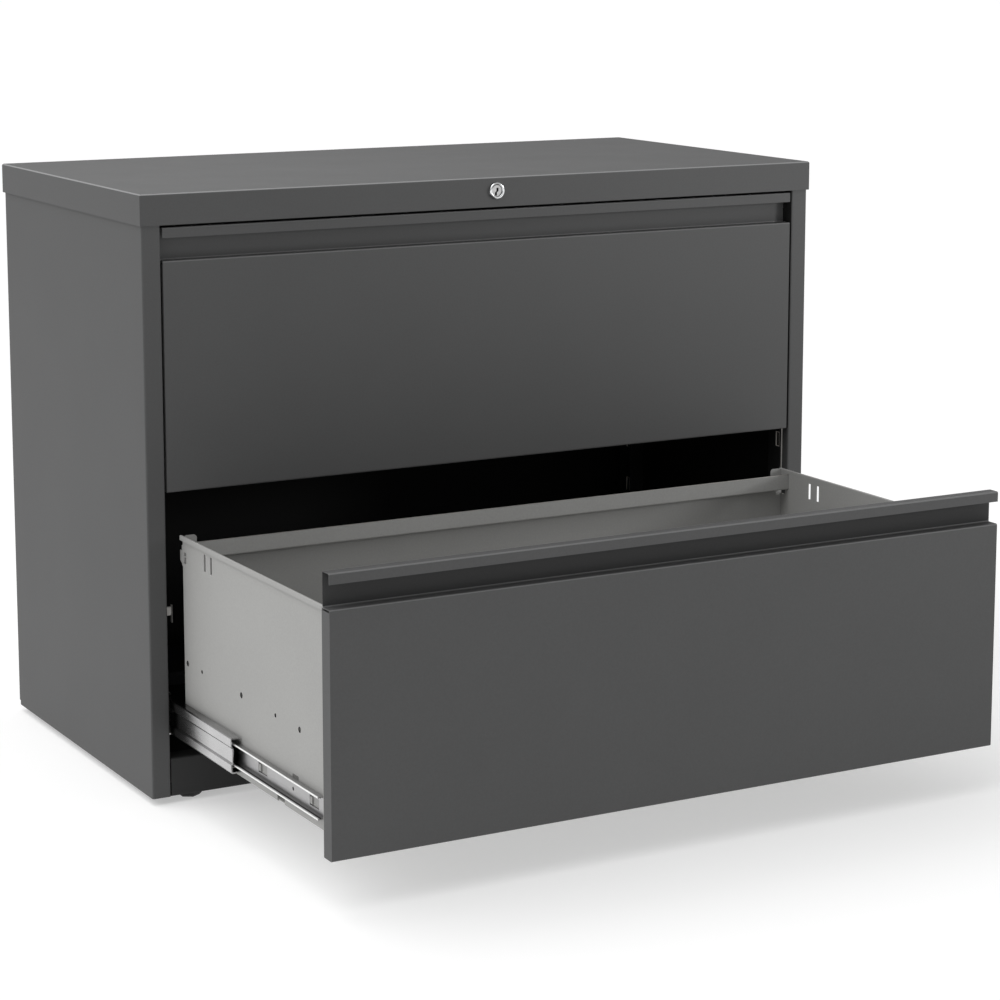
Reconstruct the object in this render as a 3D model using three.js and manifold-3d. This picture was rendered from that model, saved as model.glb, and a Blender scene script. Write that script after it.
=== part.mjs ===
// Two-drawer lateral filing cabinet of folded sheet steel, with the lower drawer drawn fully out.
// Millimetres, X to the right, Y from front to back, Z up from the floor.
import * as THREE from 'three';
import { mergeVertices } from 'three/addons/utils/BufferGeometryUtils.js';
import Module from 'manifold-3d';

const wasm = await Module();
wasm.setup();

// Case
const caseWidth = 914.4;
const caseDepth = 467.3;
const caseHeight = 706;
const caseSheet = 1.2;
const capFit = 0.9;
const capSkirt = 36.2;
const capRadius = 2.4;
const capReturn = 14;
const stileWidth = 22.8;
const stileReturn = 15;
const rearFlange = 20;
const backFlange = 12;
const kickHeight = 45.7;
const kickSeam = 0.8;
const kickTopFlange = 25;
const footFlange = 48;
const cornerNotch = { depth: 5, height: 6 };
const counterweight = { length: 780, depth: 140, height: 15, rearGap: 20, chamfer: 4 };

// Folded sheet and fits
const bendRadius = 0.8;
const bendSteps = 3;
const curveSteps = 5;
const seat = 0.3;
const rolling = 0.35;
const cutMargin = 1;

// Levelling glides
const glideStand = 8.4;
const glideRadius = 15;
const glideChamfer = 2.6;
const glideSides = 6;
const glideStem = { radius: 4.7, length: 32, sides: 12 };
const glideInset = 57.2;
const weldNut = { radius: 9, height: 8, sides: 6 };

// Drawer fronts
const drawerCount = 2;
const drawerTravel = 430;
const drawerSheet = 1;
const gapBelow = 3.7;
const gapBetween = 6.4;
const gapAbove = 3;
const gapBeside = 2.65;
const frontDepth = 18.5;
const pullHeight = 38.1;
const pullSetback = 15.6;
const pullLip = 11.75;
const cornerSlit = 2.2;

// Drawer boxes
const boxRise = 18.1;
const sideBelowLedge = 4.9;
const boxRearGap = 43.2;
const boxFlange = 12;
const panFlange = 10;
const hemOut = 2.2;
const hemDrop = 5.5;
const hemRadius = 0.2;
const railSetback = 17;
const railHeight = 20;
const hemTail = 3.5;
const railBelowSide = 5;
const backBelowSide = 12;
const backEar = { width: 16, radius: 4 };
const rearTab = { reach: 11, step: 6, below: 9, height: 30.5, slope: 4 };
const tabNose = { below: 18.7, height: 13.6, slope: 1.5, notch: 10 };
const sideHoles = { rise: 95, radius: 2.75, fromRear: [9, 162, 315] };
const pilotHoles = { radius: 1.7, fromRear: [51, 253] };
const barSlots = { width: 5, height: 20, below: 9.5, fromRear: [64, 82] };
const reliefSlot = { width: 15, height: 5, rise: 39.5, fromRear: 303.5 };
const bottomNotch = { width: 19, height: 8, fromRear: 265 };
const holeSides = 10;

// Telescoping slides
const slideThickness = 15.7;
const slideRise = 44.6;
const slideSheet = 1.5;
const cageSheet = 0.5;
const linerClear = 2;
const memberSetback = 22.2;
const memberRearGap = 4;
const cabinetMemberHeight = 52;
const middleMemberHeight = 41;
const drawerMemberHeight = 25.5;
const memberLip = 2.6;
const middleShare = 0.5;
const middleWebHeight = 16;
const middleWebSet = 2;
const outerBallSet = 7;
const innerBallSet = 10.2;
const ballsPerRow = 4;
const ballSides = 6;
const ballRings = 4;
const cageEnd = 8;
const hookWindow = { length: 23, height: 11, pitch: 132, first: 22, count: 3 };
const rivetHole = { radius: 2.2, fromFront: 75 };
const raceBead = { width: 1.2, height: 0.7, first: 1.4, pitch: 2.2, count: 3 };
const sideHook = { length: 5, height: 8, reach: 1.9, clear: 1 };

// Slotted uprights
const uprightGap = 2;
const uprightBehindStile = 0.2;
const uprightWidth = 28;
const slotsPerDrawer = 5;
const slotWidth = 7;
const slotHeight = 18;
const slotInset = 3;
const slideHook = { width: 5.5, height: 14 };

// Lock and lock rods
const lockRise = 19.6;
const lockBezel = 10.1;
const lockBezelProud = 3.6;
const lockBarrel = 8.6;
const lockBarrelLength = 23;
const lockPlugRadius = 6.8;
const lockTailRadius = 3.2;
const lockSides = 24;
const keyway = { width: 2, height: 8.8, jog: 2.2, slope: 2, drop: 1.2, depth: 6 };
const camThickness = 2.5;
const camHub = 6;
const camArmWall = 1;
const camThrow = 7;
const camTurn = Math.PI / 2;
const pinRadius = 2;
const pinClearance = 0.4;
const pinPlay = 0.65;
const linkThickness = 2;
const linkHeight = 12.5;
const linkWall = 3;
const linkGap = 0.5;
const linkRearGap = 1.5;
const guideReach = 400;
const guideFlange = 12;
const rodThickness = 2;
const rodWidth = 14;
const rodNeck = 5;
const rodTab = { width: 4, height: 9.6, drop: 2.5, setback: 1 };
const tabHead = { height: 21.2, drop: 3.4, thickness: 1.2, gap: 1.2 };
const tabPlay = 1;
const lockCatch = { reach: 8, height: 10.5, thickness: 1.2, gap: 0.9, below: 1.5 };
const tabSlot = 2;

// Places that follow from the sizes above
const capOverhang = caseSheet + capFit;
const bodyHalf = caseWidth / 2 - capOverhang;
const bodyFront = capOverhang;
const bodyBack = caseDepth - capOverhang;
const wallHalf = bodyHalf - caseSheet - seat;
const openingHalf = bodyHalf - stileWidth;
const caseBottom = glideStand;
const caseTop = caseBottom + caseHeight;
const capUnder = caseTop - caseSheet;
const capBottom = caseTop - capSkirt;
const kickTop = caseBottom + kickHeight;
const deckTop = kickTop - caseSheet - seat;
const backFace = bodyBack - caseSheet - seat;
const deckRear = backFace - caseSheet - seat;
const glideHalf = caseWidth / 2 - glideInset;
const frontGlideY = bodyFront + footFlange / 2;
const rearGlideY = deckRear - footFlange / 2;

const openingHeight = capBottom - kickTop;
const frontsHeight = openingHeight - gapBelow - gapAbove - gapBetween * (drawerCount - 1);
const frontHeight = frontsHeight / drawerCount;
const drawerPitch = frontHeight + gapBetween;
const firstFront = kickTop + gapBelow;
const drawerBottoms = Array.from({ length: drawerCount }, (_, i) => firstFront + i * drawerPitch);
const frontHalf = openingHalf - gapBeside;
const ledgeRise = frontHeight - pullHeight;
const sideRise = ledgeRise - sideBelowLedge;
const linerFront = bodyFront + frontDepth + seat;
const linerBack = linerFront + drawerSheet;
const boxFront = linerBack + seat;
const boxBack = bodyBack - boxRearGap;

const uprightFace = openingHalf + uprightBehindStile;
const uprightFront = bodyFront + stileReturn + uprightGap;
const slideOuter = uprightFace - seat;
const boxHalf = slideOuter - slideThickness - seat;
const cabinetFront = linerBack + linerClear;
const memberFront = cabinetFront + memberSetback;
const memberRear = boxBack - memberRearGap;
const rearUprightFront = memberRear - uprightWidth;
const cageLength = memberRear - memberFront - drawerTravel * middleShare - 2 * cageEnd;
const slotPitch = drawerPitch / slotsPerDrawer;
const slotCentreY = uprightFront + slotInset + slotWidth / 2;
const tabSlotRise = slideRise + tabSlot * slotPitch;

const lockZ = capBottom + lockRise;
const lockTravel = 2 * camThrow * Math.sin(camTurn / 2);
const camFront = lockBarrelLength + seat;
const linkFront = camFront + camThickness + linkGap;
const linkBack = linkFront + linkThickness;
const linkBottom = lockZ + camThrow * Math.cos(camTurn / 2) - pinRadius - pinClearance - linkWall;
const linkTop = linkBottom + linkHeight;
const rodTopZ = linkTop - linkWall - pinRadius - pinClearance * Math.SQRT2;
const linkEndBottom = rodTopZ - lockTravel - pinRadius - pinClearance * Math.SQRT2 - linkWall;
const uprightTop = linkEndBottom - linkWall;
const rodInner = uprightFace + caseSheet + seat;
const rodPinX = rodInner + rodThickness / 2;
const rodFront = slotCentreY - rodTab.width / 2 - rodTab.setback;
const neckFront = linkBack + linkRearGap;
const tabRise = tabSlotRise - rodTab.drop;
const headRise = tabRise - tabHead.drop;

// Finishes
const finishes = {
  charcoalPaint: { color: 0x4c4d4e, roughness: 0.5, metalness: 0.2 },
  greyPaint: { color: 0xa9a9a6, roughness: 0.45, metalness: 0.2 },
  zincPlate: { color: 0xc3c6c8, roughness: 0.3, metalness: 0.95 },
  ballCage: { color: 0x8f9498, roughness: 0.4, metalness: 0.8 },
  chrome: { color: 0xd8dadc, roughness: 0.12, metalness: 1 },
  blackNylon: { color: 0x17181a, roughness: 0.55, metalness: 0 },
  castIron: { color: 0x3b3c3d, roughness: 0.8, metalness: 0.6 },
};

function piece(name, geometry, finish) {
  const material = new THREE.MeshStandardMaterial({ ...finish, flatShading: true });
  const mesh = new THREE.Mesh(geometry, material);
  mesh.name = name;
  return mesh;
}

function solid(geometry) {
  const bare = geometry.clone();
  bare.deleteAttribute('normal');
  bare.deleteAttribute('uv');
  const merged = mergeVertices(bare);
  return new wasm.Manifold(new wasm.Mesh({
    numProp: 3,
    vertProperties: Float32Array.from(merged.attributes.position.array),
    triVerts: Uint32Array.from(merged.index.array),
  }));
}

function surface(body) {
  const mesh = body.getMesh();
  const geometry = new THREE.BufferGeometry();
  geometry.setAttribute('position', new THREE.BufferAttribute(mesh.vertProperties, 3));
  geometry.setIndex(new THREE.BufferAttribute(mesh.triVerts, 1));
  return geometry;
}

function join(geometries) {
  return surface(geometries.map(solid).reduce((whole, next) => whole.add(next)));
}

function cut(geometry, cutters) {
  return surface(cutters.map(solid).reduce((rest, cutter) => rest.subtract(cutter), solid(geometry)));
}

function common(first, second) {
  return surface(solid(first).intersect(solid(second)));
}

const axisFrames = {
  x: [new THREE.Vector3(0, 1, 0), new THREE.Vector3(0, 0, 1), new THREE.Vector3(1, 0, 0)],
  y: [new THREE.Vector3(1, 0, 0), new THREE.Vector3(0, 0, 1), new THREE.Vector3(0, -1, 0)],
  z: [new THREE.Vector3(1, 0, 0), new THREE.Vector3(0, 1, 0), new THREE.Vector3(0, 0, 1)],
};

// A shape drawn in (y, z), (x, z) or (x, y) and drawn out along the remaining axis
function prism(shape, axis, from, to) {
  const options = { depth: to - from, bevelEnabled: false, curveSegments: curveSteps };
  const geometry = new THREE.ExtrudeGeometry(shape, options);
  geometry.applyMatrix4(new THREE.Matrix4().makeBasis(...axisFrames[axis]));
  const start = axis === 'y' ? to : from;
  const place = { x: 0, y: 0, z: 0, [axis]: start };
  return geometry.translate(place.x, place.y, place.z);
}

function block(x, y, z) {
  const geometry = new THREE.BoxGeometry(Math.abs(x[1] - x[0]), y[1] - y[0], z[1] - z[0]);
  return geometry.translate((x[0] + x[1]) / 2, (y[0] + y[1]) / 2, (z[0] + z[1]) / 2);
}

const span = (centre, size) => [centre - size / 2, centre + size / 2];

// A round or many-sided bar along one axis, given by the two other coordinates of its centre line
function bar(axis, radius, from, to, centre, sides) {
  const circle = new THREE.Shape();
  for (let i = 0; i < sides; i += 1) {
    const angle = (i + 0.5) * 2 * Math.PI / sides;
    const point = [centre[0] + radius * Math.cos(angle), centre[1] + radius * Math.sin(angle)];
    if (i === 0) {
      circle.moveTo(...point);
    } else {
      circle.lineTo(...point);
    }
  }
  return prism(circle, axis, from, to);
}

// Section of a folded sheet: the path follows one face, and the metal lies to the left of it
function foldedSheet(path, thickness, insideRadius = bendRadius) {
  const points = path.map(([a, b]) => new THREE.Vector2(a, b));
  const near = [];
  const far = [];
  points.forEach((point, i) => {
    const before = points[i - 1];
    const after = points[i + 1];
    if (!before || !after) {
      const along = before ? point.clone().sub(before) : after.clone().sub(point);
      const left = new THREE.Vector2(-along.y, along.x).normalize();
      near.push(point.clone());
      far.push(point.clone().addScaledVector(left, thickness));
      return;
    }
    const arriving = point.clone().sub(before).normalize();
    const leaving = after.clone().sub(point).normalize();
    const turn = Math.atan2(arriving.cross(leaving), arriving.dot(leaving));
    const hand = Math.sign(turn);
    const nearRadius = insideRadius + (hand > 0 ? thickness : 0);
    const farRadius = nearRadius - hand * thickness;
    const left = new THREE.Vector2(-arriving.y, arriving.x);
    const setback = nearRadius * Math.tan(Math.abs(turn) / 2);
    const tangent = point.clone().addScaledVector(arriving, -setback);
    const centre = tangent.addScaledVector(left, hand * nearRadius);
    for (let step = 0; step <= bendSteps; step += 1) {
      const ray = left.clone().multiplyScalar(-hand);
      ray.rotateAround(new THREE.Vector2(), turn * step / bendSteps);
      near.push(centre.clone().addScaledVector(ray, nearRadius));
      far.push(centre.clone().addScaledVector(ray, farRadius));
    }
  });
  return new THREE.Shape([...near, ...far.reverse()]);
}

// The same section with its first coordinate mapped, to mirror it or to set it beside another piece
function placed(shape, mapPoint) {
  return new THREE.Shape(shape.getPoints().map((p) => new THREE.Vector2(...mapPoint(p.x, p.y))));
}

function polygon(points) {
  return new THREE.Shape(points.map(([a, b]) => new THREE.Vector2(a, b)));
}

// Side panel: one sheet folded into wall, front stile with its return, and rear flange
function sidePanel(side) {
  const section = foldedSheet([
    [openingHalf, bodyFront + stileReturn],
    [openingHalf, bodyFront],
    [bodyHalf, bodyFront],
    [bodyHalf, bodyBack],
    [bodyHalf - rearFlange, bodyBack],
  ], caseSheet);
  const panel = prism(placed(section, (x, y) => [side * x, y]), 'z', caseBottom, capUnder - seat);
  const notch = block(
    span(side * bodyHalf, 2 * (rearFlange + bendRadius + caseSheet)),
    [bodyBack - cornerNotch.depth, bodyBack + caseSheet],
    [caseBottom - caseSheet, caseBottom + cornerNotch.height],
  );
  return cut(panel, [notch]);
}

function backPanel() {
  const section = foldedSheet([
    [backFace, caseBottom],
    [backFace, capUnder - seat],
    [backFace - backFlange, capUnder - seat],
  ], caseSheet);
  return prism(section, 'x', -wallHalf, wallHalf);
}

// A block with its two upper edges rounded, as the outside or the inside of the cap
function coverOutline(low, high, bottom, top, radius) {
  const outline = new THREE.Shape();
  outline.moveTo(low, bottom);
  outline.lineTo(high, bottom);
  outline.absarc(high - radius, top - radius, radius, 0, Math.PI / 2);
  outline.absarc(low + radius, top - radius, radius, Math.PI / 2, Math.PI);
  return outline;
}

function coverBlock(inset, bottom) {
  const half = caseWidth / 2 - inset;
  const top = caseTop - inset;
  const radius = capRadius - inset;
  const frontToBack = coverOutline(inset, caseDepth - inset, bottom, top, radius);
  const sideToSide = coverOutline(-half, half, bottom, top, radius);
  return common(prism(frontToBack, 'x', -half, half), prism(sideToSide, 'y', inset, caseDepth - inset));
}

// Cap: a lid with skirts all round, a stiffening return under the front skirt and the lock hole
function topCap() {
  const shell = cut(coverBlock(0, capBottom), [coverBlock(caseSheet, capBottom - caseSheet)]);
  const lipWidth = span(0, 2 * (openingHalf - seat));
  const lip = block(lipWidth, [caseSheet / 2, capReturn], [capBottom, capBottom + caseSheet]);
  const lockHole = bar('y', lockBarrel + seat, -caseSheet, 2 * caseSheet, [0, lockZ], lockSides);
  return cut(join([shell, lip]), [lockHole]);
}

// A flange that carries two glides gets a nut welded over each hole
function withGlideNuts(flange, y) {
  const spots = [-glideHalf, glideHalf];
  const foot = caseBottom + caseSheet / 2;
  const top = caseBottom + caseSheet + weldNut.height;
  const nuts = spots.map((x) => bar('z', weldNut.radius, foot, top, [x, y], weldNut.sides));
  const through = [caseBottom - cutMargin, top + cutMargin];
  const bores = spots.map((x) => bar('z', glideStem.radius + seat, ...through, [x, y], glideStem.sides));
  return cut(join([flange, ...nuts]), bores);
}

function kickRail() {
  const section = foldedSheet([
    [bodyFront + kickTopFlange, kickTop],
    [bodyFront, kickTop],
    [bodyFront, caseBottom],
    [bodyFront + footFlange, caseBottom],
  ], caseSheet);
  const half = openingHalf - kickSeam;
  return withGlideNuts(prism(section, 'x', -half, half), frontGlideY);
}

function basePan() {
  const section = foldedSheet([
    [deckRear - footFlange, caseBottom],
    [deckRear, caseBottom],
    [deckRear, deckTop],
    [bodyFront + stileReturn + seat, deckTop],
  ], caseSheet);
  return withGlideNuts(prism(section, 'x', -wallHalf, wallHalf), rearGlideY);
}

function counterweightSlab() {
  const rear = deckRear - counterweight.rearGap;
  const front = rear - counterweight.depth;
  const bottom = deckTop + seat;
  const top = bottom + counterweight.height;
  const section = polygon([
    [front, bottom],
    [rear, bottom],
    [rear, top - counterweight.chamfer],
    [rear - counterweight.chamfer, top],
    [front + counterweight.chamfer, top],
    [front, top - counterweight.chamfer],
  ]);
  return prism(section, 'x', ...span(0, counterweight.length));
}

// Levelling glide: a six-sided foot with a bevelled sole on a threaded stem
function glide(x, y) {
  const sole = new THREE.LatheGeometry([
    new THREE.Vector2(0, 0),
    new THREE.Vector2(glideRadius - glideChamfer, 0),
    new THREE.Vector2(glideRadius, glideChamfer),
    new THREE.Vector2(glideRadius, glideStand - seat),
    new THREE.Vector2(0, glideStand - seat),
  ], glideSides);
  sole.rotateX(Math.PI / 2).translate(x, y, 0);
  const stemFoot = glideStand - glideChamfer;
  const stemTop = stemFoot + glideStem.length;
  return join([sole, bar('z', glideStem.radius, stemFoot, stemTop, [x, y], glideStem.sides)]);
}

// Upright: a channel against the side wall, slotted for the slides and the lock rod
function upright(side, front) {
  const section = foldedSheet([
    [wallHalf, front + uprightWidth],
    [uprightFace, front + uprightWidth],
    [uprightFace, front],
    [wallHalf, front],
  ], caseSheet);
  const channel = prism(placed(section, (x, y) => [side * x, y]), 'z', deckTop + seat, uprightTop);
  const through = span(side * uprightFace, 4 * caseSheet);
  const depth = span(front + slotInset + slotWidth / 2, slotWidth);
  const slots = Array.from(
    { length: drawerCount * slotsPerDrawer },
    (_, i) => block(through, depth, span(firstFront + slideRise + i * slotPitch, slotHeight)),
  );
  const tabHalf = rodTab.height / 2 + tabPlay;
  const tabRuns = drawerBottoms.map((bottom) => block(
    through,
    depth,
    [bottom + tabRise - lockTravel - tabHalf, bottom + tabRise + tabHalf],
  ));
  return cut(channel, [...slots, ...tabRuns]);
}

// Slide sections are drawn from the case side (0) to the drawer side, about the slide's mid height
const outerBall = {
  radius: (cabinetMemberHeight / 2 - slideSheet - middleMemberHeight / 2) / 2 - rolling,
  rise: (cabinetMemberHeight / 2 - slideSheet + middleMemberHeight / 2) / 2,
  set: outerBallSet,
};
const innerBall = {
  radius: (middleMemberHeight / 2 - slideSheet - drawerMemberHeight / 2) / 2 - rolling,
  rise: (middleMemberHeight / 2 - slideSheet + drawerMemberHeight / 2) / 2,
  set: innerBallSet,
};
const lipSet = (ball) => ball.set + ball.radius + 2 * rolling + slideSheet;
const middleSet = slideSheet + cageSheet + 2 * rolling;
const innerCageSet = middleSet + middleWebSet + slideSheet + rolling;
const drawerLipSet = innerCageSet + cageSheet + rolling;

function slideSection(side, z, path, sheet) {
  const section = foldedSheet(path, sheet, sheet / 2);
  return placed(section, (u, v) => [side * (slideOuter - u), z + v]);
}

function cabinetMember(side, z) {
  const half = cabinetMemberHeight / 2;
  const lip = lipSet(outerBall);
  const section = slideSection(side, z, [
    [lip, half - slideSheet - memberLip],
    [lip, half],
    [0, half],
    [0, -half],
    [lip, -half],
    [lip, -half + slideSheet + memberLip],
  ], slideSheet);
  const rail = prism(section, 'y', cabinetFront, memberRear);
  const hooks = [uprightFront, rearUprightFront].map((front) => block(
    [side * slideOuter - slideSheet / 2, side * slideOuter + slideSheet / 2].map((x) => x + side * seat),
    span(front + slotInset + slotWidth / 2, slideHook.width),
    span(z, slideHook.height),
  ));
  return join([rail, ...hooks]);
}

function middleMember(side, z) {
  const half = middleMemberHeight / 2;
  const lip = lipSet(innerBall);
  const web = middleWebHeight / 2;
  const section = slideSection(side, z, [
    [lip, half - slideSheet - memberLip],
    [lip, half],
    [middleSet, half],
    [middleSet, web + middleWebSet],
    [middleSet + middleWebSet, web],
    [middleSet + middleWebSet, -web],
    [middleSet, -web - middleWebSet],
    [middleSet, -half],
    [lip, -half],
    [lip, -half + slideSheet + memberLip],
  ], slideSheet);
  return prism(section, 'y', memberFront, memberRear);
}

const hookWindowCentres = Array.from(
  { length: hookWindow.count },
  (_, i) => memberFront + hookWindow.first + i * hookWindow.pitch,
);

// Bead: one of the ribs rolled along the inside of a drawer member's flanges
function raceBeadSection(side, z, row, set) {
  const face = drawerMemberHeight / 2 - slideSheet;
  const foot = row * (face + slideSheet / 2);
  const crest = row * (face - raceBead.height);
  const [near, far] = span(set, raceBead.width);
  const taper = raceBead.width / 4;
  const outline = polygon([[near, foot], [far, foot], [far - taper, crest], [near + taper, crest]]);
  return placed(outline, (u, v) => [side * (slideOuter - u), z + v]);
}

function drawerMember(side, z) {
  const half = drawerMemberHeight / 2;
  const section = slideSection(side, z, [
    [drawerLipSet, -half],
    [slideThickness, -half],
    [slideThickness, half],
    [drawerLipSet, half],
  ], slideSheet);
  const web = span(side * (slideOuter - slideThickness), 3 * slideSheet);
  const windows = hookWindowCentres.map(
    (y) => block(web, span(y, hookWindow.length), span(z, hookWindow.height)),
  );
  const rivet = bar('x', rivetHole.radius, ...web, [memberFront + rivetHole.fromFront, z], holeSides);
  const beads = [-1, 1].flatMap((row) => Array.from(
    { length: raceBead.count },
    (_, i) => raceBeadSection(side, z, row, drawerLipSet + raceBead.first + i * raceBead.pitch),
  ));
  const rail = join([section, ...beads].map((outline) => prism(outline, 'y', memberFront, memberRear)));
  return cut(rail, [...windows, rivet]);
}

// Ball cage: a thin strip bent round the inner member, with its two rows of balls
function ballCage(side, z, ball, set, centreY) {
  const height = ball.rise + cageSheet / 2;
  const reach = ball.set + ball.radius + rolling;
  const section = slideSection(side, z, [
    [reach, height],
    [set, height],
    [set, -height],
    [reach, -height],
  ], cageSheet);
  const balls = [];
  const pitch = (cageLength - 2 * cageEnd) / (ballsPerRow - 1);
  for (let i = 0; i < ballsPerRow; i += 1) {
    const y = centreY - cageLength / 2 + cageEnd + i * pitch;
    for (const row of [-1, 1]) {
      const sphere = new THREE.SphereGeometry(ball.radius, ballSides, ballRings).rotateX(Math.PI / 2);
      balls.push(sphere.translate(side * (slideOuter - ball.set), y, z + row * ball.rise));
    }
  }
  return join([prism(section, 'y', ...span(centreY, cageLength)), ...balls]);
}

// Drawer front: one sheet folded into face, ledge, pull web, top and lip, with two turned-in ends
function drawerFront(bottom) {
  const ledge = bottom + ledgeRise;
  const top = bottom + frontHeight;
  const web = bodyFront + pullSetback;
  const section = foldedSheet([
    [bodyFront + drawerSheet, top - pullLip],
    [bodyFront + drawerSheet, top - drawerSheet],
    [web, top - drawerSheet],
    [web, ledge],
    [bodyFront, ledge],
    [bodyFront, bottom],
    [bodyFront + frontDepth, bottom],
  ], drawerSheet);
  const ends = [-1, 1].map((side) => block(
    span(side * (frontHalf - drawerSheet / 2), drawerSheet),
    [bodyFront + drawerSheet / 2, bodyFront + frontDepth],
    [bottom + drawerSheet / 2, ledge - drawerSheet - cornerSlit],
  ));
  return join([prism(section, 'x', -frontHalf, frontHalf), ...ends]);
}

function drawerLiner(bottom) {
  const half = frontHalf - seat;
  return block([-half, half], [linerFront, linerBack], [bottom + seat, bottom + ledgeRise - drawerSheet]);
}

// Drawer side: bottom flange, punched wall with a notch for the back, rolled top edge, hooks and lock catch
function drawerSide(side, bottom) {
  const low = bottom + boxRise;
  const top = bottom + sideRise;
  const section = foldedSheet([
    [boxHalf - boxFlange, low],
    [boxHalf, low],
    [boxHalf, top - drawerSheet],
    [boxHalf + hemOut - drawerSheet, top - drawerSheet],
    [boxHalf + hemOut - drawerSheet, top - hemDrop],
  ], drawerSheet, hemRadius);
  const wall = prism(placed(section, (x, z) => [side * x, z]), 'y', boxFront, boxBack + hemTail);
  const through = span(side * boxHalf, 4 * drawerSheet);
  const underTail = block(
    span(side * boxHalf, 2 * (boxFlange + drawerSheet)),
    [boxBack, boxBack + hemTail + cutMargin],
    [low - cutMargin, top - hemDrop],
  );
  const rearNotch = block(
    through,
    [boxBack - tabNose.notch, boxBack + cutMargin],
    [top - tabNose.below - tabNose.height, top - tabNose.below],
  );
  const holes = [sideHoles, pilotHoles].flatMap((row) => row.fromRear.map(
    (y) => bar('x', row.radius, ...through, [boxBack - y, low + sideHoles.rise], holeSides),
  ));
  const slots = barSlots.fromRear.map((y) => block(
    through,
    span(boxBack - y, barSlots.width),
    [top - barSlots.below - barSlots.height, top - barSlots.below],
  ));
  const notch = block(
    span(side * boxHalf, 2 * (boxFlange + drawerSheet)),
    span(boxBack - bottomNotch.fromRear, bottomNotch.width),
    [low - drawerSheet, low + bottomNotch.height],
  );
  const relief = block(
    through,
    span(boxBack - reliefSlot.fromRear, reliefSlot.width),
    span(low + reliefSlot.rise, reliefSlot.height),
  );
  const outward = (from, to) => [side * (boxHalf + from), side * (boxHalf + to)].sort((a, b) => a - b);
  const hooks = hookWindowCentres.map((y) => block(
    outward(-drawerSheet / 2, sideHook.reach),
    span(y + (hookWindow.length - sideHook.length) / 2 - sideHook.clear, sideHook.length),
    span(bottom + slideRise, sideHook.height),
  ));
  const catchTop = bottom + headRise - tabHead.height / 2 - lockCatch.below;
  const catchFront = slotCentreY + rodTab.width / 2 + lockCatch.gap;
  const lockTab = block(
    outward(-drawerSheet / 2, lockCatch.reach),
    [catchFront, catchFront + lockCatch.thickness],
    [catchTop - lockCatch.height, catchTop],
  );
  const plate = cut(wall, [...holes, ...slots, notch, relief, underTail, rearNotch]);
  return join([plate, ...hooks, lockTab]);
}

const boxInner = boxHalf - drawerSheet - seat;

function drawerBottom(bottom) {
  const floor = bottom + boxRise + drawerSheet + seat;
  const rear = boxBack - drawerSheet - seat;
  const section = foldedSheet([
    [boxFront, floor + panFlange],
    [boxFront, floor],
    [rear, floor],
    [rear, floor + panFlange],
  ], drawerSheet);
  return prism(section, 'x', -boxInner, boxInner);
}

// Drawer back: a flat sheet with a rounded ear at each upper corner and a stepped tab turned back below it
function drawerBack(bottom) {
  const low = bottom + boxRise + drawerSheet + seat;
  const sideTop = bottom + sideRise;
  const shoulder = sideTop - backBelowSide;
  const earCentre = sideTop - backEar.radius;
  const earInner = boxInner - backEar.width;
  const sheet = new THREE.Shape();
  sheet.moveTo(-boxInner, low);
  sheet.lineTo(boxInner, low);
  sheet.absarc(boxInner - backEar.radius, earCentre, backEar.radius, 0, Math.PI / 2);
  sheet.absarc(earInner + backEar.radius, earCentre, backEar.radius, Math.PI / 2, Math.PI);
  sheet.lineTo(earInner, shoulder);
  sheet.lineTo(-earInner, shoulder);
  sheet.absarc(-earInner - backEar.radius, earCentre, backEar.radius, 0, Math.PI / 2);
  sheet.absarc(backEar.radius - boxInner, earCentre, backEar.radius, Math.PI / 2, Math.PI);
  const tabTop = sideTop - rearTab.below;
  const tabBottom = tabTop - rearTab.height;
  const noseTop = sideTop - tabNose.below;
  const noseBottom = noseTop - tabNose.height;
  const tab = polygon([
    [boxBack - drawerSheet, tabBottom],
    [boxBack + rearTab.step, tabBottom + rearTab.slope],
    [boxBack + rearTab.step, noseBottom - tabNose.slope],
    [boxBack + rearTab.reach, noseBottom + tabNose.slope],
    [boxBack + rearTab.reach, noseTop],
    [boxBack + rearTab.step, noseTop],
    [boxBack + rearTab.step, tabTop - rearTab.slope],
    [boxBack - drawerSheet, tabTop],
  ]);
  const tabs = [-boxInner, boxInner - drawerSheet].map((x) => prism(tab, 'x', x, x + drawerSheet));
  return join([prism(sheet, 'y', boxBack - drawerSheet, boxBack), ...tabs]);
}

// Hang rail: an angle whose foot meets the back or the liner and whose upright edge carries the load
function hangRail(bottom, wallY, towards) {
  const top = bottom + sideRise - railBelowSide;
  const foot = wallY + towards * seat;
  const edge = wallY + towards * railSetback;
  const path = [[foot, top - railHeight], [edge, top - railHeight], [edge, top]];
  const section = foldedSheet(towards < 0 ? path.reverse() : path, drawerSheet);
  return prism(section, 'x', -boxInner, boxInner);
}

// Lock housing: bezel and barrel turned in one piece
function lockHousing() {
  const bore = lockPlugRadius + seat;
  const bevel = lockBezelProud / 3;
  const profile = [
    [bore, bevel - lockBezelProud],
    [bore + bevel, -lockBezelProud],
    [lockBezel - bevel, -lockBezelProud],
    [lockBezel, bevel - lockBezelProud],
    [lockBezel, -seat],
    [lockBarrel, -seat],
    [lockBarrel, lockBarrelLength],
    [bore, lockBarrelLength],
    [bore, bevel - lockBezelProud],
  ].map(([r, y]) => new THREE.Vector2(r, y));
  return new THREE.LatheGeometry(profile, lockSides).translate(0, 0, lockZ);
}

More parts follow.
